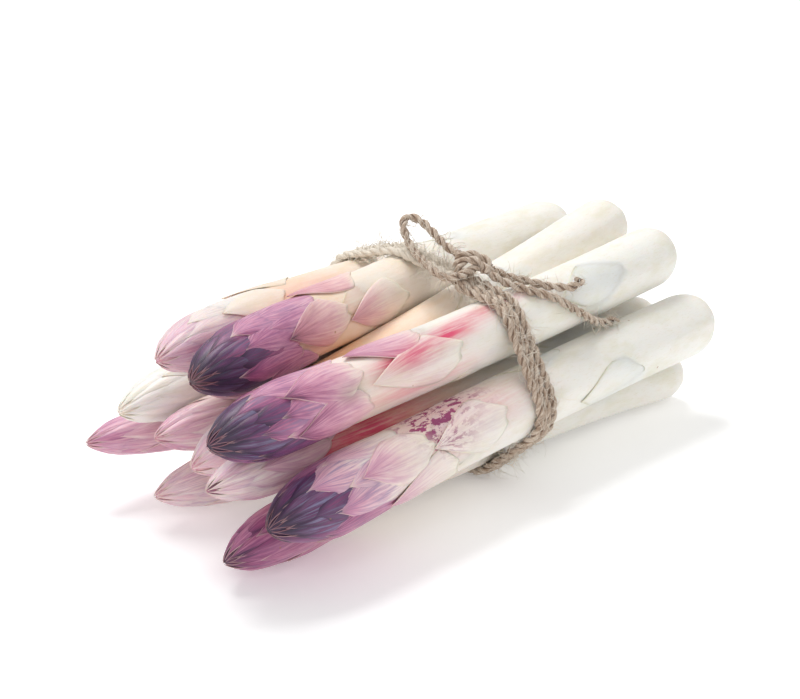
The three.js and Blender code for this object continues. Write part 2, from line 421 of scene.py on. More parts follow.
class Piece:
    def __init__(self, value_names, place_name):
        self.points = []
        self.faces = []
        self.values = {name: [] for name in value_names}
        self.place_name = place_name
        self.places = []
        self.count = 0

    def add(self, points, faces, places, **values):
        """Adds a patch. A value that isn't given is 0 all over it."""
        points = points.reshape(-1, 3)
        self.points.append(points)
        self.faces.extend(tuple(corner + self.count for corner in face) for face in faces)
        self.places.append(np.asarray(places).reshape(-1, 3))
        for name, store in self.values.items():
            value = np.asarray(values.get(name, 0.0), float)
            store.append(np.broadcast_to(value.reshape(-1), (len(points),)))
        self.count += len(points)

    def finish(self, name, material, slot, *nodes):
        mesh = bpy.data.meshes.new(name)
        mesh.from_pydata(np.concatenate(self.points).tolist(), [], self.faces)
        for value_name, store in self.values.items():
            attribute = mesh.attributes.new(value_name, "FLOAT", "POINT")
            attribute.data.foreach_set("value", np.concatenate(store).astype(np.float32))
        attribute = mesh.attributes.new(self.place_name, "FLOAT_VECTOR", "POINT")
        places = np.concatenate(self.places).ravel()
        attribute.data.foreach_set("vector", places.astype(np.float32))
        mesh.polygons.foreach_set("use_smooth", [True] * len(mesh.polygons))
        mesh.materials.append(material)
        mesh.update()
        piece = link(bpy.data.objects.new(name, mesh))
        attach(piece, "root")
        if nodes:
            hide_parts(*nodes)
        return piece


def grid_faces(rows, columns, ring=False):
    """The faces between rows of points. In a ring, the last column meets the first."""
    faces = []
    for row in range(rows - 1):
        for column in range(columns if ring else columns - 1):
            a = row * columns + column
            b = row * columns + (column + 1) % columns
            faces.append((a, b, b + columns, a + columns))
    return faces


def tube_faces(rows, sides):
    """The faces of a closed tube: its rings, then its first and last ends."""
    last = (rows - 1) * sides
    ends = [tuple(range(sides - 1, -1, -1)), tuple(range(last, last + sides))]
    return grid_faces(rows, sides, ring=True) + ends


def even_turns(count):
    return np.arange(count) * 2 * np.pi / count


def ring_round(first, second, count):
    """Directions all round a line, from the two axes at each of its points."""
    turn = even_turns(count)[:, None]
    return np.cos(turn) * first[:, None] + np.sin(turn) * second[:, None]


def waves(seed, count, longest, shortest):
    """A smooth random function of one or more arrays, made of a few waves."""
    rng = random.Random(seed)
    table = []
    for _ in range(count):
        size = rng.uniform(shortest, longest)
        table.append((1 / size, rng.uniform(-1, 1), rng.uniform(0, 2 * math.pi)))

    def wave(along, turn=0.0):
        total = 0.0
        for rate, twist, start in table:
            total = total + np.sin(2 * math.pi * rate * along + round(3 * twist) * turn + start)
        return total / count

    return wave


print("the collector is ready")

# %% [markdown]
# ## What each spear looks like
#
# The spears were not equally deep in the ground, so their buds run from dark violet to cream.
# Each has a level for its bud, its leaves and its stem, how much painted orange bounce light
# its shaded flesh gets from its neighbours, and how much grey-lilac its bud scales get, partly
# their waxy bloom and partly a painted highlight on their crowns. A patch is a flush or a
# mottling on the stem: its kind, the distance from the tip, the way round, how far it reaches
# both ways, and its strength.

# %% Levels and patches
LOOK_PARTS = ("bud", "leaf", "stem", "warm", "slate")
LEVELS = {
    "top": (0.93, 0.55, 0.22, 0.35, 0.5),
    "upper_front": (0.88, 0.56, 0.24, 0.08, 0.7),
    "front": (0.84, 0.36, 0.16, 0.04, 1.0),
    "upper_back": (0.34, 0.06, 0.10, 0.42, 0.3),
    "middle": (0.30, 0.12, 0.10, 0.6, 0.1),
    "back": (0.03, 0.02, 0.04, 0.6, 0.0),
    "inner_front": (0.26, 0.44, 0.50, 0.45, 0.4),
    "inner_back": (0.36, 0.10, 0.14, 0.55, 0.1),
    "low_front": (0.72, 0.45, 0.20, 0.2, 0.2),
    "low_middle": (0.28, 0.16, 0.12, 0.4, 0.6),
    "low_back": (0.46, 0.30, 0.16, 0.45, 0.3),
    "core_low": (0.40, 0.20, 0.12, 0.5, 0.2),
    "core_high": (0.40, 0.20, 0.12, 0.5, 0.2),
}
LOOKS = {name: dict(zip(LOOK_PARTS, levels)) for name, levels in LEVELS.items()}
PATCHES = {
    "top": [("flush", 44, 112, 14, 34, 0.5), ("green", 48, 30, 8, 22, 0.5),
            ("green", 42, 100, 6, 20, 0.5)],
    "upper_front": [("flush", 74, 50, 13, 20, 1.9), ("flush", 92, 36, 16, 16, 1.2),
                    ("flush", 112, 18, 20, 12, 0.8), ("flush", 74, 104, 26, 22, 0.7),
                    ("green", 47, 66, 5, 14, 0.7)],
    "front": [("mottle", 64, 8, 10, 30, 1.3), ("mottle", 76, 12, 12, 26, 1.3),
              ("mottle", 68, 60, 9, 22, 1.2), ("mottle", 78, -30, 12, 24, 1.0),
              ("flush", 74, 20, 20, 60, 0.5), ("flush", 96, 40, 18, 40, 0.2)],
    "low_back": [("flush", 36, 60, 12, 60, 0.6)],
    "inner_back": [("flush", 32, 100, 14, 50, 0.6)],
    "inner_front": [("flush", 56, 60, 30, 90, 1.3)],
    "upper_back": [("flush", 70, 60, 16, 34, 0.6)],
}
OTHER_PATCHES = [("flush", 52, -70, 16, 50, 0.35), ("green", 44, 170, 7, 30, 0.35)]
# The painted orange bounce light in the shaded flesh peaks at this distance from the tip in mm,
# fades over the reach, and keeps a small share all along the stem.
PAINTED_BOUNCE_AT = 62
PAINTED_BOUNCE_REACH = 42
PAINTED_BOUNCE_EVERYWHERE = 0.10


def angle_between(turn, degrees):
    return (np.degrees(turn) - degrees + 180) % 360 - 180


def patch_values(name, distance, turn):
    """The strength of each kind of patch over a stem, for distances in millimetres."""
    values = {"flush": 0.0, "mottle": 0.0, "green": 0.0}
    for kind, place, side, long, wide, strength in PATCHES.get(name, []) + OTHER_PATCHES:
        away = ((distance - place) / long) ** 2 + (angle_between(turn, side) / wide) ** 2
        values[kind] = values[kind] + strength * np.exp(-away)
    # Painted orange bounce light from the neighbouring spears, strongest mid-stem.
    glow = np.exp(-((distance - PAINTED_BOUNCE_AT) / PAINTED_BOUNCE_REACH) ** 2)
    values["warm"] = LOOKS[name]["warm"] * (glow + PAINTED_BOUNCE_EVERYWHERE)
    return values


print(len(LOOKS), "spears have levels")

# %% [markdown]
# ## One scale
#
# A scale is a thin leaf that grows out of the stem at its base and points to the bud's tip. It
# is pointed at the tip, widest past the middle, and its shoulders round off to a scalloped
# margin. A flat plane bent by a modifier would slip on the tapering bud, so each point is
# placed by its own distance from the tip and its own way round. The inner side follows the
# outer one a little lower, which closes the shell and gives the margin a real edge.

# %% A scale's shell
ROWS = 22
COLUMNS = 17
SHOULDER = 0.66
BASE_NARROWING = 0.42
UNEVEN_WIDTH = 0.06
UNEVEN_HEIGHT = 0.10
THIN_MARGIN = 0.35
WIDEST_TURN = math.radians(100)


def scale_width(share, point, shoulder):
    """Half the width along a scale, as a share of the widest, from its tip to its base."""
    rise = np.sin(np.pi / 2 * np.minimum(share / shoulder, 1)) ** point
    fall = np.clip((share - shoulder) / (1 - shoulder), 0, 1)
    return np.maximum(rise * (1 - BASE_NARROWING * fall ** 2), 0.01)


def add_scale(piece, spear, seed, tip, side, length, half_width, stain, lift=0.25, sink=-0.9,
              thickness=0.5, point=1.0, lean=0.0, crown=0.35, ridge=2.0, curl=0.0, bow=0.16,
              scallop=0.0, shoulder=SHOULDER, like_stem=0.0, grain=None, **tints):
    """Adds one scale. Lengths are in millimetres and ways round in degrees.

    lift and sink are the heights of its tip and base over the spear's outline. stain is a pair:
    how violet the tip and the base are. like_stem is how much of the stem's patches it takes
    on, and grain is the seed of a stem whose streaks run on over it. tints are values or
    functions of (share, across)."""
    rng = random.Random(seed)
    share, across = np.linspace(0, 1, ROWS), np.linspace(-1, 1, COLUMNS)
    share, across = np.meshgrid(share, across, indexing="ij")
    ripple = scallop * np.sin(across * rng.uniform(5, 7) + rng.uniform(0, 6)) * share ** 4
    distance = (tip + length * (share - bow * across ** 2 * share ** 2 + ripple)) * MM
    distance = np.maximum(distance, 0.05 * MM)
    width = half_width * scale_width(share, point, shoulder)
    radius = spear.outline(distance)
    uneven = 1 + UNEVEN_WIDTH * np.sin(5 * share + rng.uniform(0, 6))
    turn = np.clip(width * uneven * across * MM / radius, -WIDEST_TURN, WIDEST_TURN)
    turn = math.radians(side) + turn + math.radians(lean) * (1 - share)
    wave = waves(seed + 1, 3, 1.1, 0.5)
    height = lift * (1 - share) + sink * share
    height = height + crown * (1 - np.abs(across) ** ridge) * np.minimum(1, 3.5 * share)
    height = height + curl * (1 - share) ** 4 + UNEVEN_HEIGHT * wave(share, 2 * across)
    shell = thickness * (1 - (1 - THIN_MARGIN) * across ** 2) * np.minimum(1, 0.4 + 2 * share)
    outer = radius + height * MM
    inner = np.maximum(outer - shell * MM, 0.02 * MM)
    outer = np.maximum(outer, inner + 0.05 * MM)
    rim = np.minimum((1 - np.abs(across)) * width, (1 - share) * length)
    values = {name: value * like_stem
              for name, value in patch_values(spear.name, distance / MM, turn).items()}
    for name, value in tints.items():
        values[name] = value(share, across) if callable(value) else value
    values["stain"] = stain[0] + (stain[1] - stain[0]) * share ** 0.8
    values["rim"] = rim
    values = {name: np.tile(np.broadcast_to(value, share.shape).ravel(), 2)
              for name, value in values.items()}
    if grain is None:
        straight = np.stack([half_width * across * 1.2 + 7.3 * seed % 50,
                             np.full_like(share, 0.4 * (seed % 17)), distance / MM], -1)
    else:
        straight = stem_grain(grain, distance / MM, turn, outer / MM)
    sheets = np.array([spear.around(distance, turn, radius) for radius in (outer, inner)])
    piece.add(sheets, shell_faces(ROWS, COLUMNS), [straight, straight], **values)


def stem_grain(seed, distance, turn, radius):
    """The straightened copy of a stem, in which its streaks are laid out."""
    return np.stack([radius * np.cos(turn) + 3.1 * seed, radius * np.sin(turn), distance], -1)


def shell_faces(rows, columns):
    """The faces of two facing sheets and of the edge that joins them."""
    sheet = grid_faces(rows, columns)
    size = rows * columns
    faces = [face[::-1] for face in sheet]
    faces += [tuple(corner + size for corner in face) for face in sheet]
    edge = list(range(columns - 1))
    edge += [row * columns + columns - 1 for row in range(rows - 1)]
    edge += [(rows - 1) * columns + column for column in range(columns - 1, 0, -1)]
    edge += [row * columns for row in range(rows - 1, 0, -1)]
    for here, there in zip(edge, edge[1:] + edge[:1]):
        faces.append((here, there, there + size, here + size))
    return faces


print("a scale has", ROWS * COLUMNS * 2, "points")

# %% [markdown]
# ## The skin
#
# White asparagus is ivory where it grew in the dark, and the parts that saw light turned pink,
# magenta and dark violet. All of it is one skin, so one finish serves the stems, the buds and
# the leaves. How violet a place is comes from the mesh as a value, and a colour ramp turns it
# into a colour. Streaks and blotches are noise stretched along the shoot, laid out in a
# straightened copy of it, because noise in plain space would run across the bend.
# Three values paint light and shade into the colour: orange bounce light in shaded flesh, shade in
# the grooves between bud scales, and highlights on the scales' crowns, mixed with their grey-lilac
# bloom.

# %% The asparagus finish
STAIN_COLOURS = [(0.00, "f2f0e9"), (0.15, "eedcd6"), (0.32, "deb3c0"), (0.48, "c88aa6"),
                 (0.64, "a0567f"), (0.82, "60325e"), (1.00, "311a3d")]
MARGIN_COLOURS = [(0.00, "ebe5c9"), (0.45, "e8cfc6"), (1.00, "b0707c")]


def asparagus_finish():
    material, shader, tree = new_finish("asparagus_skin")
    straight = tree.place("straight")
    stain, rim = tree.attribute("stain"), tree.attribute("rim")
    streak = straight.stretched((1, 1, 0.07)).noise(1.3, 4.0)
    fine = straight.stretched((1, 1, 0.12)).noise(4.0, 2.0)
    blotch = straight.stretched((1, 1, 0.45)).noise(0.17, 3.0)
    shown = stain.step(0.03, 0.3)
    level = stain + (streak - 0.5) * shown * 0.55 + (blotch - 0.5) * shown * 0.35
    skin = level.clamped().ramp(STAIN_COLOURS)
    aged = blotch.step(0.42, 0.72) * (1 - shown)
    # Painted bounce light: an orange glow in the shaded flesh between spears.
    warm = tree.attribute("warm") * (0.5 + blotch)
    flush = tree.attribute("flush") * (0.38 + 0.42 * streak.step(0.30, 0.62))
    islands = straight.stretched((1, 1, 0.6)).noise(0.42, 5.0, 0.65).step(0.49, 0.57)
    # Painted shade: dark bud scales are darkened just inside their margins, where the grooves
    # between overlapping scales lie in shade.
    painted_groove_shade = rim.step(2.7, 0.7) * level.step(0.55, 0.85)
    cut = tree.attribute("cut")
    line = rim.step(1.3, 0.2) * tree.attribute("khaki")
    spots = straight.cells(0.10).step(0.055, 0.03) * straight.noise(0.05).step(0.5, 0.56)
    layers = [
        (colour("e3dfc9"), aged * 0.55),
        (colour("d9c9a6"), fine.step(0.56, 0.75) * (1 - shown) * 0.35),
        # Painted orange bounce light.
        (colour("f4be8d"), warm.clamped()),
        (colour("8f9475"), tree.attribute("green")),
        (colour("dc4f72"), flush.clamped()),
        (colour("9c3a6c"), (tree.attribute("mottle") * islands).clamped()),
        # Grey-lilac on the crowns of the bud scales: partly waxy bloom, partly a painted
        # highlight.
        (colour("9089aa"), tree.attribute("slate") * streak.step(0.42, 0.68)),
        (colour("f2ead2"), tree.attribute("pale")),
        # Painted shade in the grooves between bud scales.
        (colour("25112f"), painted_groove_shade * 0.75),
        (colour("e3d8b4"), cut * 0.65),
        (colour("bfae7c"), cut * straight.cells(0.85).step(0.30, 0.12) * 0.55),
        (level.clamped().ramp(MARGIN_COLOURS), rim.step(0.30, 0.05) * 0.6),
        (colour("b5ad7c"), line * (0.2 + blotch * 0.7)),
        (colour("a8743f"), spots * 0.7),
    ]
    for tint, factor in layers:
        skin = skin.painted(tint, factor)
    connect(shader, "Base Color", skin)
    connect(shader, "Roughness", 0.36 + streak * 0.22)
    height = streak * 0.7 + fine * 0.3
    connect(shader, "Normal", bump(height, 0.55, 0.3 * MM))
    set_constants(shader, {"Subsurface Weight": 0.22, "Subsurface Radius": (1.0, 0.55, 0.35),
                           "Subsurface Scale": 0.6 * MM, "Coat Weight": 0.08,
                           "Coat Roughness": 0.3})
    return material


asparagus = asparagus_finish()
print("the skin's finish has", len(asparagus.node_tree.nodes), "nodes")

# %% [markdown]
# ## The stem
#
# A stem is never a true cylinder: shallow ridges run along it, and it has soft dents where it
# lay against others. The cut end is rounded and has a flat face in its middle. Rings of
# points with a little random height do this, and they leave room under the bud for the scales.

# %% The stem of a spear
STEM_TURNS = 72
RING_STEP = 1.6
BUD_FLESH = 0.7
DARK_FLESH = 20
FLESH_UNDER_BUD = (26, 56)
RIDGE_HEIGHT = 0.22
DENT_DEPTH = 0.30
STEM_MARGIN = 0.12
NO_RIM = 9.0
CUT_RINGS = np.array([(0.93, 0.02, 0.3), (0.8, -0.1, 0.9), (0.5, -0.35, 1.0), (0.2, -0.5, 1.0),
                      (0.03, -0.5, 1.0)])


def stem_rings(spear):
    length = spear.length / MM
    long_part = np.arange(1.5, length - BUTT_DOME / MM, RING_STEP)
    dome = length - BUTT_DOME / MM * (1 - np.sin(np.linspace(0, np.pi / 2, 12)))
    return np.concatenate([long_part, dome])


def add_stem(piece, spear, seed, look):
    distance = stem_rings(spear)
    distance, turn = np.meshgrid(distance, even_turns(STEM_TURNS), indexing="ij")
    start, end = FLESH_UNDER_BUD
    under = np.clip((end - distance) / (end - start), 0, 1)
    radius = spear.outline(distance * MM) / MM
    radius = radius - np.minimum(BUD_FLESH * under, 0.5 * radius)
    along = along_of(distance, spear)
    ridge = waves(seed, 6, 2.2, 0.6)(along, 3 * turn)
    dent = waves(seed + 50, 5, 0.9, 0.25)(along, turn)
    relief = np.minimum(1, radius / 5)
    radius = radius + relief * (RIDGE_HEIGHT * ridge + DENT_DEPTH * dent - STEM_MARGIN)
    cut = cut_face(distance[-1], turn[-1], radius[-1])
    distance = np.concatenate([distance, cut[0]])
    turn = np.concatenate([turn, cut[1]])
    radius = np.concatenate([radius, cut[2]])
    points = spear.around(distance * MM, turn, radius * MM)
    straight = stem_grain(seed, distance, turn, radius)
    fade = np.exp(-np.maximum(distance - 28, 0) / 26)
    uneven = 1 + 0.6 * waves(seed + 9, 5, 0.8, 0.2)(along_of(distance, spear), turn)
    under_bud = look["bud"] * np.exp(-(distance / DARK_FLESH) ** 2)
    on_cut = np.zeros_like(distance)
    on_cut[-len(CUT_RINGS):] = CUT_RINGS[:, 2:]
    piece.add(points, tube_faces(len(distance), STEM_TURNS), straight,
              stain=look["stem"] * fade * uneven + under_bud, rim=NO_RIM, cut=on_cut,
              **patch_values(spear.name, distance, turn))


def along_of(distance, spear):
    return distance / (spear.length / MM)


def cut_face(distance, turn, radius):
    """Rings that close the cut end: a small round edge, then a slightly hollow flat face."""
    shares, hollow = CUT_RINGS[:, :1], CUT_RINGS[:, 1:2]
    rows = np.ones_like(shares)
    return distance * rows + hollow, turn * rows, radius * shares


print("a stem has about", int(200 / RING_STEP) * STEM_TURNS, "points")

# %% [markdown]
# ## The closed bud
#
# The bud is a cone of long, keeled scales. Lower scales lie over higher ones, like tiles, and
# their tips run together at the point. A bump map can't make one scale overlap the next, so
# each is a shell of its own. Where single scales matter, they are placed one by one, and whorls
# fill the rest. A placed row is the tip's distance, the way round, the length, half the width,
# and the levels at the tip and the base. A whorl is its number of scales, the distances of its
# first and last tips, and half the width as a share of the spear's radius.

# %% Scales of the buds
PLACED_SCALES = {
    "top": [
        (0.9, -52, 27, 4.4, 1.0, 0.8), (0.7, -16, 27, 4.4, 0.95, 0.75),
        (0.5, 18, 27, 3.9, 1.0, 0.72), (0.6, 52, 27, 3.7, 0.95, 0.8), (0.8, 84, 27, 3.8, 1, 0.85),
        (1, 120, 26, 4.2, 1.0, 1.0), (2.6, 35, 27, 3.6, 0.85, 0.8), (3.5, 102, 27, 4.2, 1, 0.95),
        (4.5, 66, 27, 4.2, 0.9, 0.85), (6.5, 44, 26, 4.2, 0.7, 0.8), (7, 5, 29, 5.6, 0.85, 0.62),
        (8.5, 126, 26, 5.4, 0.95, 1), (10, 66, 27, 6.4, 0.95, 0.66), (12, 96, 28, 7.2, 0.72, 0.55),
        (16, 13, 30, 8.2, 0.62, 0.45), (21, 136, 30, 8, 0.7, 0.5), (27, 38, 26, 7.5, 0.6, 0.42),
    ],
    "upper_front": [
        (0.9, -44, 27, 4.4, 0.95, 0.8), (0.7, -8, 27, 4.4, 0.95, 0.75),
        (0.5, 26, 26, 3.7, 1.0, 0.8), (0.6, 60, 26, 3.6, 0.95, 0.8), (0.8, 94, 26, 3.8, 1.0, 0.85),
        (1.0, 132, 25, 4.2, 0.95, 0.9), (2.8, 44, 26, 3.6, 0.85, 0.75), (4, 77, 26, 4.0, 0.8, 0.8),
        (6, 112, 26, 4.8, 0.9, 0.8), (6.5, 15, 28, 5.4, 0.8, 0.6), (9, 50, 26, 5.6, 0.85, 0.7),
        (12, 78, 27, 6.2, 0.74, 0.45), (13, 128, 28, 7, 0.9, 0.7), (15, 0, 30, 8.0, 0.6, 0.42),
        (20, 62, 24, 7.0, 0.72, 0.34),
    ],
    "front": [
        (0.9, -42, 27, 4.8, 0.9, 0.8), (0.7, -4, 27, 4.8, 0.9, 0.75),
        (0.5, 30, 27, 4.2, 0.9, 0.8), (0.6, 66, 27, 4, 0.95, 0.8), (0.8, 102, 27, 4.2, 0.9, 0.85),
        (1.0, 142, 25, 5, 0.8, 0.6), (3, 50, 26, 4.4, 0.85, 0.8), (3.6, 84, 27, 4.4, 0.9, 0.8),
        (5, 118, 26, 5.6, 0.85, 0.7), (5.5, 12, 27, 5.2, 0.95, 0.7), (8, 74, 27, 6.8, 0.9, 0.8),
        (12.5, 25, 29, 8.4, 0.6, 0.12), (14, 124, 30, 8, 0.7, 0.5), (17, 82, 32, 8.2, 0.62, 0.12),
        (23, 0, 30, 7.8, 0.5, 0.05),
    ],
}
WHORLS = [(9, 0.4, 1.2, 0.47), (7, 2.5, 5, 0.5), (5, 7, 11, 0.62), (3, 14, 17, 0.8),
          (3, 21, 26, 0.85)]
BUD_ROOM = (25, 5)
BUD_SPREAD = 16


def whorl_scales(spear, seed, look):
    """The scales of a bud in order, from its point outwards."""
    rng = random.Random(seed)
    rows = []
    for count, first, last, width in WHORLS:
        start = rng.uniform(0, 360)
        for number in range(count):
            share = number / count
            tip = first + (last - first) * share
            side = start + 360 * ((number * 2) % count) / count + rng.uniform(-5, 5)
            level = look["bud"] + (look["leaf"] - look["bud"]) * min(tip / 24, 1)
            tip_level = level * rng.uniform(0.95, 1.2)
            rows.append((tip, side, rng.uniform(25, 28) + tip / 6, spear.radius / MM * width,
                         tip_level, level * rng.uniform(0.5, 0.8)))
    return rows


def bud_rows(spear, seed, look):
    """The placed scales, and those of the whorls that find room beside them."""
    placed = PLACED_SCALES.get(spear.name, [])
    rows = list(placed)
    turn_room, tip_room = BUD_ROOM
    for row in whorl_scales(spear, seed, look):
        near = [other for other in placed
                if abs(angle_between(math.radians(row[1]), other[1])) < turn_room
                and abs(row[0] - other[0]) < tip_room]
        if not near:
            rows.append(row)
    return sorted(rows)


def add_bud(piece, spear, seed, look):
    for number, row in enumerate(bud_rows(spear, seed, look)):
        tip, side, length, half_width, tip_level, base_level = row
        # The grey-lilac along each scale's crown is partly the bud's waxy bloom and partly a
        # painted highlight where the crown faces the light.
        slate = look["slate"] * (0.8 if number % 2 else 0.45)
        spread = min(1, tip / BUD_SPREAD)
        add_scale(piece, spear, seed + number, tip, side, length, half_width,
                  (tip_level, base_level), lift=-0.4 + 0.75 * spread, sink=-0.8 + 0.6 * spread,
                  thickness=0.45, point=1.25, crown=0.75 - 0.2 * spread, ridge=1.5,
                  shoulder=0.56 + 0.08 * spread,
                  slate=lambda share, across: slate * np.sin(np.pi * share ** 0.8)
                  * (1 - np.abs(across)) ** 0.7,
                  pale=lambda share, across: 0.5 * np.maximum(1 - share * 9, 0) * spread)


print(sum(len(rows) for rows in PLACED_SCALES.values()), "bud scales are placed by hand")

# %% [markdown]
# ## Scales on the stem
#
# Further down, the scales follow one another in a spiral of 137.5 degrees. They lie so flat
# that only their edges show, as khaki lines in the shape of a V. They are built like the
# others, with almost no height. A painted line would miss the step that catches the light.

# %% Flat scales
FLAT_FROM = 58
FLAT_PITCH = 27
FLAT_TURN = 137.5
BARE_BUTT = 45


def add_flat_scales(piece, spear, seed, look):
    rng = random.Random(seed + 300)
    side = rng.uniform(0, 360)
    tip = FLAT_FROM + rng.uniform(-6, 10)
    number = 0
    while tip < spear.length / MM - BARE_BUTT:
        level = look["leaf"] * math.exp(-(tip - 30) / 32)
        add_scale(piece, spear, seed + 400 + number, tip, side, rng.uniform(28, 36),
                  spear.radius / MM * rng.uniform(0.85, 1.05), (level, level * 0.3),
                  lift=0.06, sink=-0.4, thickness=0.4, crown=0.14, point=1.15,
                  lean=rng.uniform(-6, 6), khaki=0.6, scallop=0.02, like_stem=1.0,
                  grain=seed)
        side += FLAT_TURN
        tip += FLAT_PITCH * rng.uniform(0.8, 1.25)
        number += 1
    return number


print("flat scales start", FLAT_FROM, "mm below the tip")

# %% [markdown]
# ## Growing the spears
#
# Each spear becomes one mesh: stem, bud scales and flat scales.

# %% All spears
for order, (name, spear) in enumerate(spears.items()):
    seed = 100 * (order + 1)
    piece = Piece(PLANT_VALUES, "straight")
    add_stem(piece, spear, seed, LOOKS[name])
    add_bud(piece, spear, seed, LOOKS[name])
    flat = add_flat_scales(piece, spear, seed, LOOKS[name])
    piece.finish(f"{name}_spear", asparagus, "spear", f"spear_{name}")
    print(f"{name}: {len(piece.faces)} faces, {flat} flat scales")

# %% [markdown]
# ## The loose leaves
#
# These stand clear of the stem at their tips. Each CAD leaf says where its tip is and which way
# it faces. The visible leaf is grown there with thin edges, a lifted tip and a pale, scalloped
# margin at its shoulders.

# %% All loose leaves
LEAF_LEVELS = {
    "top_1": (0.78, 0.20), "top_2": (0.55, 0.02), "upper_front_1": (0.72, 0.24),
    "upper_front_2": (0.72, 0.28), "upper_front_3": (0.12, 0.0), "front_1": (0.50, 0.02),
    "front_2": (0.10, 0.0), "front_3": (0.42, 0.03),
}
LEAF_LENGTHS = {"upper_front_3": 40, "front_2": 34}
LEAF_LENGTH = 31
LEAF_HALF_WIDTH = 0.837


def leaf_place(node, spear):
    """The distance of a CAD leaf's tip from the spear's tip, and the way that it faces."""
    vertices = bpy.data.objects[node].data.vertices
    places = [spear.place_of(np.array(vertex.co)) for vertex in vertices]
    first = min(place[0] for place in places)
    sides = [place[1] for place in places if place[0] < first + 0.5 * MM]
    side = math.atan2(np.mean(np.sin(sides)), np.mean(np.cos(sides)))
    return first / MM, math.degrees(side)


def add_loose_leaf(node, seed):
    leaf = node.removeprefix("scale_leaf_")
    spear = spears[leaf.rsplit("_", 1)[0]]
    look = LOOKS[spear.name]
    tip, side = leaf_place(node, spear)
    levels = LEAF_LEVELS.get(leaf, (look["leaf"] * 1.1, look["leaf"] * 0.4))
    piece = Piece(PLANT_VALUES, "straight")
    add_scale(piece, spear, seed, tip, side, LEAF_LENGTHS.get(leaf, LEAF_LENGTH),
              spear.radius / MM * LEAF_HALF_WIDTH, levels, lift=0.75, sink=0.05,
              thickness=0.55, point=1.05, crown=0.5, curl=0.35, scallop=0.035,
              shoulder=0.84, like_stem=0.55, slate=look["slate"] * 0.12,
              pale=lambda share, across: 0.85 * np.clip((share - 0.80) * 5, 0, 1)
              * (0.35 + 0.65 * across ** 2))
    piece.finish(node.replace("scale_leaf", "leaf"), asparagus, "scale_leaf", node)
    return tip, side


leaf_nodes = [node for node in frame["nodes"] if node.startswith("scale_leaf_")]
for order, node in enumerate(sorted(leaf_nodes)):
    tip, side = add_loose_leaf(node, 5000 + 10 * order)
    print(f"{node}: tip {tip:.0f} mm down, facing {side:.0f} degrees")

# %% [markdown]
# ## Jute twine
#
# The twine has two plies twisted round each other, each a bundle of dull, hairy fibres. A
# plain tube with a bump would have a smooth outline. Here each ply is a tube of its own that
# winds round the twine's middle line, so the twist shows in the outline too.

# %% The twine's finish
TWINE = 2.4
PLY_RADIUS = 0.34 * TWINE
PLY_OFFSET = 0.24 * TWINE
TWIST_PITCH = 8.0
PLY_SIDES = 12
TWINE_STEP = 0.45
JUTE_COLOURS = [(0.10, "665041"), (0.34, "a78d78"), (0.54, "cfbaa6"), (0.76, "f3e9db")]
UNEVEN_TWIST = 0.35
LUMPS = 0.10
FIBRE_ANGLE = 0.55


def jute_finish():
    material, shader, tree = new_finish("jute")
    lay = tree.place("lay")
    strand = lay.stretched((1, 1, 0.16)).noise(4.5, 4.0, 0.7)
    patch = lay.stretched((0.3, 0.3, 0.12)).noise(1.2, 2.0)
    # Painted shade: the inner side of each ply, where it lies in the crevice against the other
    # ply, is darkened.
    hollow = tree.attribute("crevice") * 0.42
    shade = (strand * 1.5 + patch * 0.7 - 0.58 - hollow).clamped()
    fibre = shade.ramp(JUTE_COLOURS)
    # A lighter colour laid over by the lightened value: a painted highlight on the tops of the
    # turns behind the knot, and a paler tone on the loose fibres.
    fibre = fibre.painted(colour("fbf3e4"), tree.attribute("bleach"))
    connect(shader, "Base Color", fibre)
    connect(shader, "Roughness", 0.82 + strand * 0.15)
    connect(shader, "Normal", bump(strand, 0.9, 0.35 * MM))
    set_constants(shader, {"Specular IOR Level": 0.2, "Sheen Weight": 0.25})
    return material


TWINE_VALUES = ("crevice", "bleach")
jute = jute_finish()
print("the jute's finish has", len(jute.node_tree.nodes), "nodes")

# %% [markdown]
# The middle line is sampled evenly, and a pair of axes is carried along it without turning, so
# the plies twist at one rate whatever the route does.

# %% Plies along a route
def smooth_route(points, step):
    """Points at even steps along the smooth curve through a route."""
    points = np.asarray(points, float)
    before = np.vstack([2 * points[0] - points[1], points, 2 * points[-1] - points[-2]])
    dense = []
    for a, b, c, d in zip(before, before[1:], before[2:], before[3:]):
        t = np.linspace(0, 1, 24, endpoint=False)[:, None]
        dense.append(0.5 * (2 * b + (c - a) * t + (2 * a - 5 * b + 4 * c - d) * t ** 2
                            + (3 * b - a - 3 * c + d) * t ** 3))
    return even_steps(np.vstack(dense + [points[-1:]]), step)


def even_steps(points, step):
    reach = reach_along(points)
    places = np.linspace(0, reach[-1], max(int(reach[-1] / step), 2) + 1)
    return np.stack([np.interp(places, reach, points[:, axis]) for axis in range(3)], axis=1)


def carried_axes(line):
    along = np.gradient(line, axis=0)
    along /= np.linalg.norm(along, axis=1, keepdims=True)
    first = np.cross(along[0], [0.3, 0.5, 0.8])
    sides = [first / np.linalg.norm(first)]
    for direction in along[1:]:
        side = sides[-1] - direction * (sides[-1] @ direction)
        sides.append(side / np.linalg.norm(side))
    side = np.array(sides)
    return along, side, np.cross(along, side)


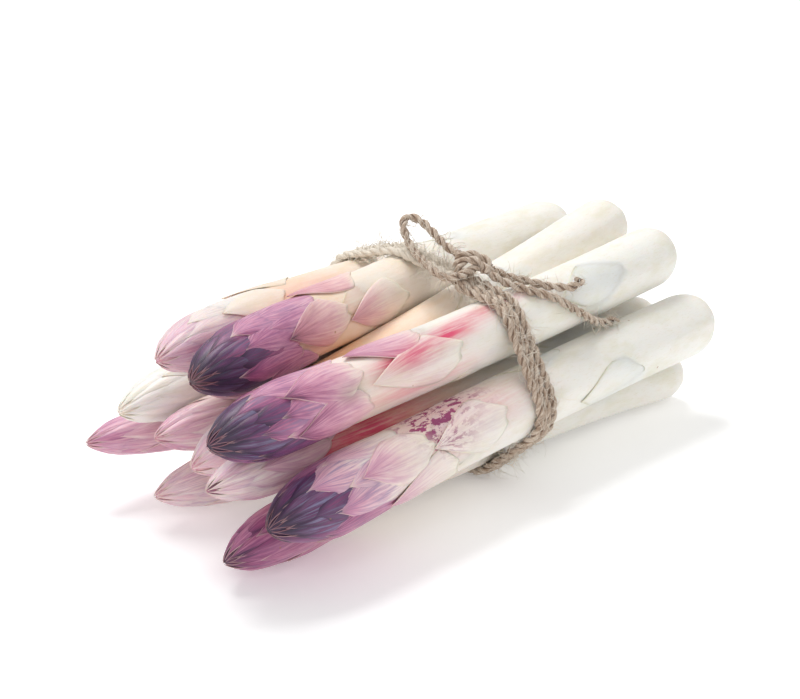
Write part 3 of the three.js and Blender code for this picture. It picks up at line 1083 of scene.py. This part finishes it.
def add_twine(piece, line, seed, thin=None, bleach=0.0, opened=None):
    """Adds both plies of a stretch of twine. line is in metres and evenly sampled."""
    rng = random.Random(seed)
    start = rng.uniform(0, 2 * math.pi)
    along, side, rise = carried_axes(line)
    reach = np.linspace(0, reach_along(line)[-1], len(line)) / MM
    thin = np.ones(len(line)) if thin is None else thin
    opened = np.ones(len(line)) if opened is None else opened
    rate = 2 * math.pi / TWIST_PITCH
    uneven = waves(seed, 4, 23, 7)
    turn = even_turns(PLY_SIDES)
    roll = turn - FIBRE_ANGLE * reach[:, None]
    # The side of each ply that faces the other ply gets painted crevice shade.
    crevice = np.broadcast_to(np.clip(-np.cos(turn), 0, 1), roll.shape)
    # How much of the lighter colour each point gets.
    fade = np.broadcast_to(np.asarray(bleach, float).reshape(-1, 1), roll.shape)
    for ply in range(2):
        angle = start + math.pi * ply + rate * reach + UNEVEN_TWIST * uneven(reach)
        outward = np.cos(angle)[:, None] * side + np.sin(angle)[:, None] * rise
        across = np.cross(along, outward)
        centre = line + outward * (PLY_OFFSET * MM * opened)[:, None]
        lumps = 1 + LUMPS * waves(seed + ply + 5, 5, 6, 1.5)(reach[:, None], turn)
        radius = PLY_RADIUS * MM * thin[:, None] * lumps
        points = centre[:, None] + radius[..., None] * ring_round(outward, across, PLY_SIDES)
        lay = np.stack([0.8 * np.cos(roll) + 5 * ply, 0.8 * np.sin(roll) + seed % 13,
                        np.broadcast_to(reach[:, None], roll.shape)], axis=-1)
        piece.add(points, tube_faces(len(line), PLY_SIDES), lay, crevice=crevice, bleach=fade)


print("a stretch of twine has", PLY_SIDES * 2, "points at each step")

# %% [markdown]
# ## The turns round the bunch
#
# Pulled tight, the twine goes straight from spear to spear and bends only where it touches one.
# For each direction, the spear that reaches furthest out that way carries the twine, which
# gives the taut route. The four turns lie side by side and cross a little, and both ends run
# under the knot. Behind the knot, the tops of the turns are painted lighter: a painted
# highlight where the light falls on the top of the bunch.

# %% The turns
TIE_X = 6.2 * MM + origin[0]
TURNS = 4
TURN_PITCH = 2.3
FRONT_OF_KNOT = 110
BACK_OF_KNOT = 90
KNOT_SHARE = 0.66
DRIFT = 0.9
LAP = 0.5
LAPS_PER_TURN = 1.37


def taut_point(x, degrees, height):
    angle = math.radians(degrees)
    outward = np.array([0, math.cos(angle), math.sin(angle)])
    best, best_reach = None, -1.0
    for spear in spears.values():
        centre = spear.centre_at(x)
        radius = spear.outline(np.interp(x, spear.xs, spear.reach)) + height
        if centre @ outward + radius > best_reach:
            best_reach = centre @ outward + radius
            best = centre + outward * radius
    return best


def under_knot(x, height):
    """The twine's place on the flat stretch where the knot sits."""
    back, front = taut_point(x, BACK_OF_KNOT, height), taut_point(x, FRONT_OF_KNOT, height)
    return back + (front - back) * KNOT_SHARE


def turns_route():
    drift = waves(71, 4, 2.6, 0.9)
    edge = TURNS * TURN_PITCH * MM / 2
    points = [under_knot(TIE_X - edge, 0.5 * TWINE * MM)]
    last = 360 * TURNS + BACK_OF_KNOT
    for degrees in range(FRONT_OF_KNOT, last + 1, 5):
        turned = (degrees - FRONT_OF_KNOT) / (last - FRONT_OF_KNOT)
        x = TIE_X + (turned - 0.5) * (TURNS * TURN_PITCH) * MM + DRIFT * MM * drift(degrees / 360)
        lap = LAP * abs(math.sin(degrees / 360 * math.pi * LAPS_PER_TURN))
        points.append(taut_point(x, degrees, (TWINE * 0.5 + 0.1 + lap) * MM))
    points.append(under_knot(TIE_X + edge, 0.5 * TWINE * MM))
    return even_steps(np.array(points), TWINE_STEP * MM)


def soften(line, rounds):
    line = line.copy()
    for _ in range(rounds):
        line[1:-1] = 0.25 * line[:-2] + 0.5 * line[1:-1] + 0.25 * line[2:]
    return line


turns_line = soften(turns_route(), 6)
turns = Piece(TWINE_VALUES, "lay")
# Painted highlight: the tops of the turns behind the knot are made lighter, where the light falls
# on the top of the bunch.
behind_knot = np.clip((turns_line[:, 1] - origin[1] + 18 * MM) / (5 * MM), 0, 1)
on_top = np.clip((turns_line[:, 2] - 40 * MM) / (12 * MM), 0, 1)
add_twine(turns, turns_line, 11, bleach=0.8 * on_top * behind_knot)
turns.finish("turns_of_twine", jute, "jute_twine", "twine_turns")
print(f"the turns take {reach_along(turns_line)[-1] / MM:.0f} mm of twine")

# %% [markdown]
# ## The free twine
#
# The bow loop and the two ends are limp cords that spring a little from the knot. Their routes
# are the ones that the design gives, so they lie in their CAD solids.

# %% Loop and ends
BOW_LOOP = [
    (0.4, -21.6, 64.5), (-1.5, -19.4, 64), (-1.8, -15.2, 64.6), (-0.4, -10.8, 65.5),
    (1, -6.4, 66.4), (2.3, -2.6, 67.3), (3.5, 0.8, 68.8), (4.4, 3.6, 71), (5.4, 5.6, 73.5),
    (6.9, 6.3, 75.3), (8.7, 5.2, 75.7), (9.6, 1.9, 74.8), (9.6, -2.1, 72.9), (9.1, -6.8, 70.5),
    (9, -11.2, 68.6), (9.2, -14, 67.8),
]
SHORT_END = [
    (13.8, -24.4, 64), (15.4, -25.6, 62.7), (17.6, -27.2, 61.5), (19.8, -29.8, 60.9),
    (22.2, -32.8, 59.9), (25.3, -35.1, 58.7), (29, -37, 57.8), (32.4, -38.8, 57.3),
    (35.2, -39.8, 57.9), (36.2, -39.9, 59.6),
]
LONG_END = [
    (11, -25, 63.8), (12.4, -27.2, 62.2), (14.7, -29.2, 60.6), (17.2, -32, 59.3),
    (19.9, -34.9, 58.1), (23.4, -37.2, 56.6), (26.8, -38.8, 54.9), (31.2, -40.3, 51.7),
    (38, -40.8, 47.2), (44.8, -39.6, 43.4), (50.5, -38.8, 41.4), (56, -39, 41.1),
]


def placed(route):
    return smooth_route(origin + np.array(route) * MM, TWINE_STEP * MM)


def add_cord(name, route, node, seed, far_end, **twine):
    line = placed(route)
    piece = Piece(TWINE_VALUES, "lay")
    shapes = {key: shape(len(line)) for key, shape in twine.items()}
    add_twine(piece, line, seed, **shapes)
    cord = piece.finish(name, jute, "jute_twine", node)
    return line


def frayed(count):
    """The plies part over the last stretch of a cut end."""
    return 1 + 0.7 * np.linspace(0, 1, count) ** 8


def tapered(count):
    """The last fibres of a cut end are fewer."""
    return 1 - 0.45 * np.linspace(0, 1, count) ** 12


loop_line = add_cord("bow_loop", BOW_LOOP, "twine_bow_loop", 21, "object")
short_line = add_cord("short_end", SHORT_END, "twine_short_end", 32, "bare", opened=frayed)
long_line = add_cord("long_end", LONG_END, "twine_long_end", 43, "bare", opened=frayed,
                     thin=tapered)

# %% [markdown]
# ## The knot
#
# In a half bow, the two legs of the loop come in on one side, the two ends leave on the other,
# and one turn of the twine is pulled tight round all of them. Four short stretches of the same
# twine, laid over one another, give the knot its lumps and hollows.

# %% The knot's strands
KNOT_STRANDS = [
    [(0.4, -21.6, 64.5), (3.6, -22, 64.9), (7.6, -22, 65.2), (11.2, -22.8, 65),
     (13.8, -24.4, 64)],
    [(9.2, -14, 67.8), (9, -16.6, 67.6), (9.4, -19.6, 67.4), (10, -22.6, 66),
     (11, -25, 63.8)],
    [(4.6, -18.2, 64), (4.8, -18.4, 66.2), (6.2, -19.6, 67.8), (8.2, -21.8, 67.6),
     (9.6, -23.8, 66), (9.4, -24.6, 64)],
    [(6.2, -16, 64.8), (6.4, -16, 66.8), (8, -17.2, 68.6), (10.6, -19.4, 68.4),
     (12.8, -21.8, 66.8), (13.6, -23.2, 64.8)],
]

knot = Piece(TWINE_VALUES, "lay")
for number, strand in enumerate(KNOT_STRANDS):
    add_twine(knot, placed(strand), 61 + number)
knot.finish("knot", jute, "jute_twine", "twine_knot")
print("the knot has", len(KNOT_STRANDS), "strands")

# %% [markdown]
# ## Loose fibres
#
# Jute sheds fine hairs. Some thousands of very thin curved tubes stand out of the twine. They
# are meshes, not a hair system, so that they stay when the bunch is exported. A fibre that
# would reach into the floor or far out of the bunch is left out.

# %% Fuzz
FIBRE_RADIUS = 0.095
FIBRE_STEPS = 7
FIBRE_SIDES = 3
# The loose fibres are drawn in the twine's lighter colour.
FIBRE_LIGHTENED = 0.8
FIBRE_BEND = 0.28
FIBRE_KINK = 0.12
FIBRE_ROOT = 0.48
FIBRE_ROOM = np.array(cad_box) + np.array([[-MM, -MM, 0.4 * MM], [MM, MM, MM]])


def any_vector(rng):
    return np.array([rng.uniform(-1, 1) for _ in range(3)])


def add_fibre(piece, rng, start, direction, length):
    bend = any_vector(rng)
    points = [start]
    for _ in range(FIBRE_STEPS):
        direction = direction + FIBRE_BEND * bend + FIBRE_KINK * any_vector(rng)
        direction = direction / np.linalg.norm(direction)
        points.append(points[-1] + direction * length / FIBRE_STEPS)
    line = np.array(points)
    if (line < FIBRE_ROOM[0]).any() or (line > FIBRE_ROOM[1]).any():
        return
    _, side, rise = carried_axes(line)
    thickness = FIBRE_RADIUS * MM * np.linspace(1, 0.5, len(line))[:, None, None]
    surface = line[:, None] + thickness * ring_round(side, rise, FIBRE_SIDES)
    piece.add(surface, tube_faces(len(line), FIBRE_SIDES), surface / MM, bleach=FIBRE_LIGHTENED)


def add_fuzz(piece, line, count, longest, seed):
    rng = random.Random(seed)
    along, side, rise = carried_axes(line)
    for _ in range(count):
        place = rng.randrange(len(line))
        angle = rng.uniform(0, 2 * math.pi)
        outward = math.cos(angle) * side[place] + math.sin(angle) * rise[place]
        start = line[place] + outward * TWINE * FIBRE_ROOT * MM
        direction = outward * rng.uniform(0.3, 0.9) + along[place] * rng.uniform(-1, 1)
        length = rng.uniform(0.25, 1) ** 1.3 * longest * MM
        add_fibre(piece, rng, start, direction, length)


FUZZ = [
    (turns_line, 2000, 8.0, 81), (loop_line, 220, 6.0, 82), (short_line, 110, 4.5, 83),
    (long_line, 150, 4.5, 84), (loop_line[:40], 10, 12.0, 87), (long_line[-8:], 24, 5.0, 85),
    (short_line[-6:], 18, 3.5, 86),
]

fuzz = Piece(TWINE_VALUES, "lay")
for line, count, longest, seed in FUZZ:
    add_fuzz(fuzz, line, count, longest, seed)
fuzz.finish("twine_fibres", jute, "jute_twine")
print("the fibres have", len(fuzz.faces), "faces")
